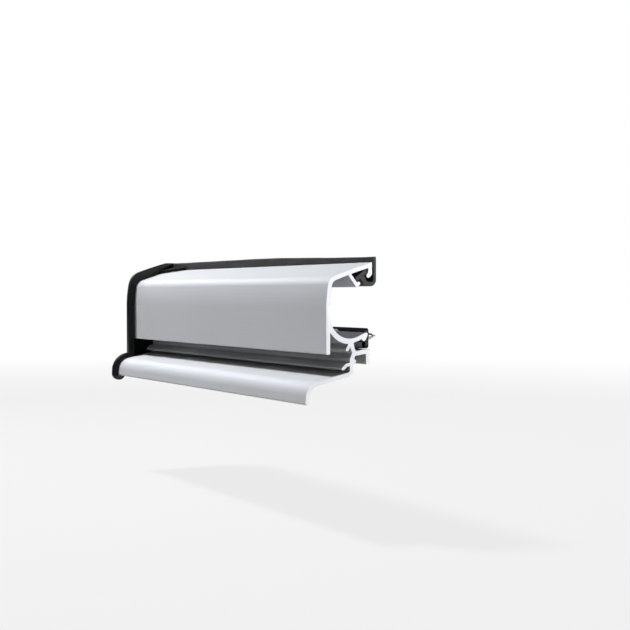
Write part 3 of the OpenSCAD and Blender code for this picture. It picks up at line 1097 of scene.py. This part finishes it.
@dataclass
class HolderScrew:
    """One countersunk screw with a rolled thread and a cross recess."""

    side: Side
    pitch: float = 1.35 * MM
    core_share: float = 0.66
    crest_share: float = 0.42
    plain_length: float = 1.2 * MM
    point_length: float = 2.6 * MM
    tip_share: float = 0.12
    tip_radius: float = 0.05 * MM
    rim: float = 0.12 * MM
    around: int = 40
    rings_per_turn: int = 14
    blade: float = 0.7 * MM
    recess_span: float = 3.0 * MM
    recess_depth: float = 1.0 * MM
    recess_taper: tuple[float, float] = (1.4, 0.5)

    @property
    def node(self) -> str:
        """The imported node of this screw."""
        return f"holder_screw_{self.side.value}"

    @property
    def turns(self) -> list[float]:
        """The turns about the axis of the points of a ring."""
        return [2 * math.pi * step / self.around for step in range(self.around)]

    def build(self) -> bpy.types.Object:
        """Turns the head, rolls the thread and cuts the recess.

        Returns:
            The screw.
        """
        low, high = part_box(self.node)
        middle = (low + high) / 2
        head = (high.x - low.x) / 2
        shank = frame["record"]["mounts"][0]["dims"]["stud_r_mm"] * MM
        neck = low.y + head - shank
        rim = self.rim
        places = [(low.y, head - rim), (low.y + rim / 2, head - rim / 4)]
        places += [(low.y + rim, head - rim), (neck, shank)]
        rings = [self.ring(middle, y, [radius] * self.around) for y, radius in places]
        steps = math.ceil((high.y - neck) / self.pitch * self.rings_per_turn)
        for step in range(1, steps + 1):
            y = neck + (high.y - neck) * step / steps
            radii = [self.radius(turn, y, neck, high.y, shank) for turn in self.turns]
            rings.append(self.ring(middle, y, radii))
        screw = swept(f"screw_{self.side.value}", [ring[::-1] for ring in rings])
        carved(screw, [self.recess_blade(middle, low.y, turn) for turn in (0.0, math.pi / 2)])
        return screw

    def ring(self, middle: Vector, y: float, radii: Sequence[float]) -> Ring:
        """Makes a ring about the screw's axis.

        Args:
            middle: A point on the axis.
            y: The ring's place along the axis.
            radii: The radius of each of its points.

        Returns:
            The points of the ring.
        """
        return [
            Vector((middle.x + radius * math.cos(turn), y, middle.z + radius * math.sin(turn)))
            for turn, radius in zip(self.turns, radii)
        ]

    def radius(self, turn: float, y: float, neck: float, end: float, shank: float) -> float:
        """Gives the thread's radius.

        Args:
            turn: The turn about the axis.
            y: The place along the axis.
            neck: Where the shank starts.
            end: Where the point ends.
            shank: The thread's outer radius.

        Returns:
            The radius there.
        """
        core = shank * self.core_share
        phase = ((y - neck) / self.pitch - turn / (2 * math.pi)) % 1.0
        crest = max(0.0, 1.0 - abs(phase - 0.5) / (self.crest_share / 2))
        start = min(1.0, max(0.0, (y - neck - self.plain_length) / self.pitch))
        point = min(1.0, (end - y) / self.point_length)
        blank = shank + (core - shank) * min(1.0, max(0.0, (y - neck) / self.plain_length))
        taper = self.tip_share + (1.0 - self.tip_share) * point
        return max(self.tip_radius, (blank + (shank - blank) * crest * start) * taper)

    def recess_blade(self, middle: Vector, face: float, turn: float) -> bpy.types.Object:
        """Makes one tapered blade of the cross recess.

        Args:
            middle: A point on the screw's axis.
            face: The head's flat face along the axis.
            turn: The turn of the blade about the axis.

        Returns:
            The closed form of the blade.
        """
        rings = []
        for depth, share in zip((-self.recess_depth, self.recess_depth), self.recess_taper):
            half, thick = self.recess_span / 2 * share, self.blade / 2
            corners = [(-half, -thick), (half, -thick), (half, thick), (-half, thick)]
            rings.append([
                Vector((
                    middle.x + a * math.cos(turn) - b * math.sin(turn), face + depth,
                    middle.z + a * math.sin(turn) + b * math.cos(turn),
                ))
                for a, b in corners[::-1]
            ])
        return swept("recess_blade", rings)

    def dress(self, piece: bpy.types.Object) -> None:
        """Dresses the screw in zinc."""
        zinc = ZincPlate().material()
        dressed(piece, "fixing", self.node, "zinc_steel", zinc, zinc)


# The studio


@dataclass(frozen=True)
class Lamp:
    """A soft square lamp that faces the strip, with a side in metres and a power in watts."""

    name: str
    place: Place
    side: float
    power: float
    mirrored: bool = True

    def build(self) -> None:
        """Adds the lamp to the scene."""
        light = bpy.data.lights.new(self.name, "AREA")
        light.shape = "SQUARE"
        light.size = self.side
        light.energy = self.power
        lamp = bpy.data.objects.new(self.name, light)
        lamp.location = self.place
        lamp.rotation_euler = (-Vector(self.place)).to_track_quat("-Z", "Y").to_euler()
        lamp.visible_glossy = self.mirrored
        bpy.context.scene.collection.objects.link(lamp)


@dataclass(frozen=True)
class BentCard:
    """A card bent round the strip about Z, which shows only in reflections.

    Its ends are angles from X. Its glow follows the height, from its lower edge at 0 to its upper one
    at 1, times a share that follows Y, from the front at 0 to the rear at 1.
    """

    name: str
    first: float
    last: float
    high: float
    levels: Steps
    sides: Steps = EVEN
    radius: float = 0.26
    low: float = FLOOR_LEVEL + 2 * MM
    tint: Colour = (0.92, 0.96, 1.04)
    steps: int = 48

    def build(self) -> None:
        """Adds the card to the stage."""
        corners, faces = [], []
        for step in range(self.steps + 1):
            turn = self.first + (self.last - self.first) * step / self.steps
            across = (self.radius * math.cos(turn), self.radius * math.sin(turn))
            corners += [(*across, self.low), (*across, self.high)]
            if step:
                k = 2 * step
                faces.append((k - 2, k, k + 1, k - 1))
        shader = Shader(self.name)
        where = shader.add("ShaderNodeTexCoord")
        split = shader.add("ShaderNodeSeparateXYZ")
        shader.join(where.outputs["Object"], split.inputs["Vector"])
        level = shader.span(split.outputs["Z"], 0.0, 1.0, self.low, self.high)
        side = shader.span(split.outputs["Y"], 0.0, 1.0, -self.radius, self.radius)
        glow = shader.add("ShaderNodeEmission")
        shader.join(shader.steps(level, self.levels, self.tint), glow.inputs["Color"])
        shader.join(shader.steps(side, self.sides), glow.inputs["Strength"])
        shader.join(glow.outputs["Emission"], shader.output.inputs["Surface"])
        hung(self.name, corners, faces, shader)


@dataclass(frozen=True)
class RoundCard:
    """A level round card under or over the strip with an even glow, which shows only in reflections."""

    name: str
    level: float
    radius: float
    glow: float
    steps: int = 48

    def build(self) -> None:
        """Adds the card to the stage."""
        turns = [2 * math.pi * step / self.steps for step in range(self.steps)]
        corners = [(self.radius * math.cos(turn), self.radius * math.sin(turn), self.level) for turn in turns]
        shader = Shader(self.name)
        glow = shader.add("ShaderNodeEmission", Strength=self.glow)
        shader.join(glow.outputs["Emission"], shader.output.inputs["Surface"])
        hung(self.name, corners, [tuple(range(self.steps))], shader)


def hung(name: str, corners: list[Place], faces: list[tuple[int, ...]], shader: Shader) -> None:
    """Adds a card to the stage that only reflections show.

    Args:
        name: The name of the card.
        corners: Its corners.
        faces: Its faces, by corner.
        shader: Its material.
    """
    mesh = bpy.data.meshes.new(name)
    mesh.from_pydata(corners, [], faces)
    mesh.materials.append(shader.material)
    card = bpy.data.objects.new(name, mesh)
    bpy.context.scene.collection.objects.link(card)
    card.visible_camera = False
    card.visible_diffuse = False
    card.visible_transmission = False
    card.visible_shadow = False


@dataclass(frozen=True)
class Floor:
    """A pale paper floor, which fades into the white surround with distance."""

    size: float = 8.0
    tone: float = 0.29
    fleck: float = 0.03
    rough: float = 0.9
    paper: Grain = Grain((0.8, 0.8, 0.8))
    lift: float = 0.80
    clear_from: float = 0.45
    clear_to: float = 0.95

    def build(self) -> None:
        """Adds the floor to the stage."""
        half = self.size / 2
        mesh = bpy.data.meshes.new("floor")
        corners = [(-half, -half), (half, -half), (half, half), (-half, half)]
        mesh.from_pydata([(x, y, FLOOR_LEVEL) for x, y in corners], [], [(0, 1, 2, 3)])
        mesh.materials.append(self.material())
        floor = bpy.data.objects.new("floor", mesh)
        bpy.context.scene.collection.objects.link(floor)

    def material(self) -> bpy.types.Material:
        """Lays the paper, which is partly white by itself where it is seen.

        Returns:
            The material.
        """
        shader = Shader("floor_paper")
        dark, light = (self.tone,) * 3, (self.tone + self.fleck,) * 3
        shader.set(Roughness=self.rough)
        shader.feed(Base_Color=shader.tones(shader.noise(self.paper), dark, light))
        where = shader.add("ShaderNodeTexCoord")
        reach = shader.add("ShaderNodeVectorMath")
        reach.operation = "LENGTH"
        shader.join(where.outputs["Object"], reach.inputs[0])
        fade = shader.span(reach.outputs["Value"], self.lift, 1.0, self.clear_from, self.clear_to)
        share = shader.add("ShaderNodeMath")
        share.operation = "MULTIPLY"
        shader.join(seen_ray(shader.tree), share.inputs[0])
        shader.join(fade, share.inputs[1])
        white = shader.add("ShaderNodeEmission", Color=(*WHITE, 1.0), Strength=1.0)
        mix = shader.add("ShaderNodeMixShader")
        shader.join(share.outputs[0], mix.inputs["Fac"])
        shader.join(shader.surface.outputs["BSDF"], mix.inputs[1])
        shader.join(white.outputs["Emission"], mix.inputs[2])
        shader.join(mix.outputs["Shader"], shader.output.inputs["Surface"])
        return shader.material


@dataclass(frozen=True)
class Studio:
    """A pale floor, a white surround, soft lamps, reflection cards and the camera."""

    ambient: float = 0.06
    floor: Floor = Floor()
    lamps: tuple[Lamp, ...] = (
        Lamp("key_lamp", place=(-0.20, -0.19, 0.50), side=0.09, power=5.6, mirrored=False),
        Lamp("end_lamp", place=(1.70, 0.90, 0.20), side=0.60, power=20.0),
        Lamp("rear_lamp", place=(-0.56, 1.10, 0.10), side=0.60, power=7.6),
    )
    cards: tuple[BentCard | RoundCard, ...] = (
        BentCard(
            "grey_card", first=math.radians(95.0), last=math.radians(275.0), high=0.34,
            levels=(
                (0.0, 0.05), (0.22, 0.1), (0.27, 1.2), (0.42, 1.2),
                (0.45, 3.6), (0.75, 3.6), (0.85, 0.5), (1.0, 0.3),
            ),
            sides=(
                (0.0, 0.05), (0.25, 0.05), (0.35, 0.1), (0.37, 1.0),
                (0.47, 1.0), (0.49, 0.1), (0.6, 0.08), (1.0, 0.05),
            ),
        ),
        BentCard(
            "dark_card", first=math.radians(-25.0), last=math.radians(94.0), high=0.30,
            levels=((0.0, 0.02), (0.6, 0.05), (1.0, 0.3)),
        ),
        RoundCard("floor_mat", level=FLOOR_LEVEL + MM, radius=0.26, glow=0.60),
        RoundCard("roof_card", level=0.56, radius=0.60, glow=0.25),
    )
    lens: float = 65.714
    sensor: float = 36.0
    clip_start: float = 0.01
    azimuth: float = math.radians(58.905)
    pitch: float = math.radians(1.032)
    eye: Place = (0.3885, -0.2079, 0.0143)

    def build(self) -> None:
        """Makes the surround, the floor, the lamps, the cards and the camera."""
        bpy.context.scene.view_settings.view_transform = "Standard"
        self.surround()
        for item in (self.floor, *self.lamps, *self.cards):
            item.build()
        self.camera()

    def surround(self) -> None:
        """Makes the world white where it is seen, and dimmer as a light."""
        world = bpy.data.worlds.new("surround")
        bpy.context.scene.world = world
        world.use_nodes = True
        tree = world.node_tree
        tree.nodes.clear()
        mix = tree.nodes.new("ShaderNodeMixShader")
        tree.links.new(seen_ray(tree), mix.inputs["Fac"])
        for socket, strength in ((1, self.ambient), (2, 1.0)):
            light = tree.nodes.new("ShaderNodeBackground")
            light.inputs["Color"].default_value = (*WHITE, 1.0)
            light.inputs["Strength"].default_value = strength
            tree.links.new(light.outputs[0], mix.inputs[socket])
        output = tree.nodes.new("ShaderNodeOutputWorld")
        tree.links.new(mix.outputs[0], output.inputs["Surface"])

    def camera(self) -> None:
        """Sets the camera at the photograph's viewing angle."""
        data = bpy.data.cameras.new("camera")
        data.lens = self.lens
        data.sensor_width = self.sensor
        data.clip_start = self.clip_start
        camera = bpy.data.objects.new("camera", data)
        flat = math.cos(self.pitch)
        back = Vector((math.sin(self.azimuth) * flat, -math.cos(self.azimuth) * flat, math.sin(self.pitch)))
        camera.location = self.eye
        camera.rotation_euler = (-back).to_track_quat("-Z", "Y").to_euler()
        bpy.context.scene.collection.objects.link(camera)
        bpy.context.scene.camera = camera


def seen_ray(tree: bpy.types.NodeTree) -> Socket:
    """Gives 1 for rays from the camera, a reflection or a clear body, and else 0.

    Args:
        tree: The node tree to add the nodes to.

    Returns:
        The value socket.
    """
    path = tree.nodes.new("ShaderNodeLightPath")
    total = path.outputs["Is Camera Ray"]
    for kind in ("Is Glossy Ray", "Is Transmission Ray"):
        more = tree.nodes.new("ShaderNodeMath")
        more.operation = "ADD"
        more.use_clamp = True
        tree.links.new(total, more.inputs[0])
        tree.links.new(path.outputs[kind], more.inputs[1])
        total = more.outputs[0]
    return total


def main() -> None:
    """Builds and dresses the pieces in order, reports each one, and sets the studio."""
    logging.basicConfig(level=logging.INFO, format="%(name)s %(message)s")
    parts = [RainRail(), TopGasket(), EndCap(), EndCapSeal()]
    for side in Side:
        parts += [ClipHolder(side), HolderScrew(side)]
    for part in parts:
        piece = part.build()
        part.dress(piece)
        LOG.info("%s: %d faces in place of %s", piece.name, len(piece.data.polygons), part.node)
    Studio().build()


if __name__ == "__main__":
    main()
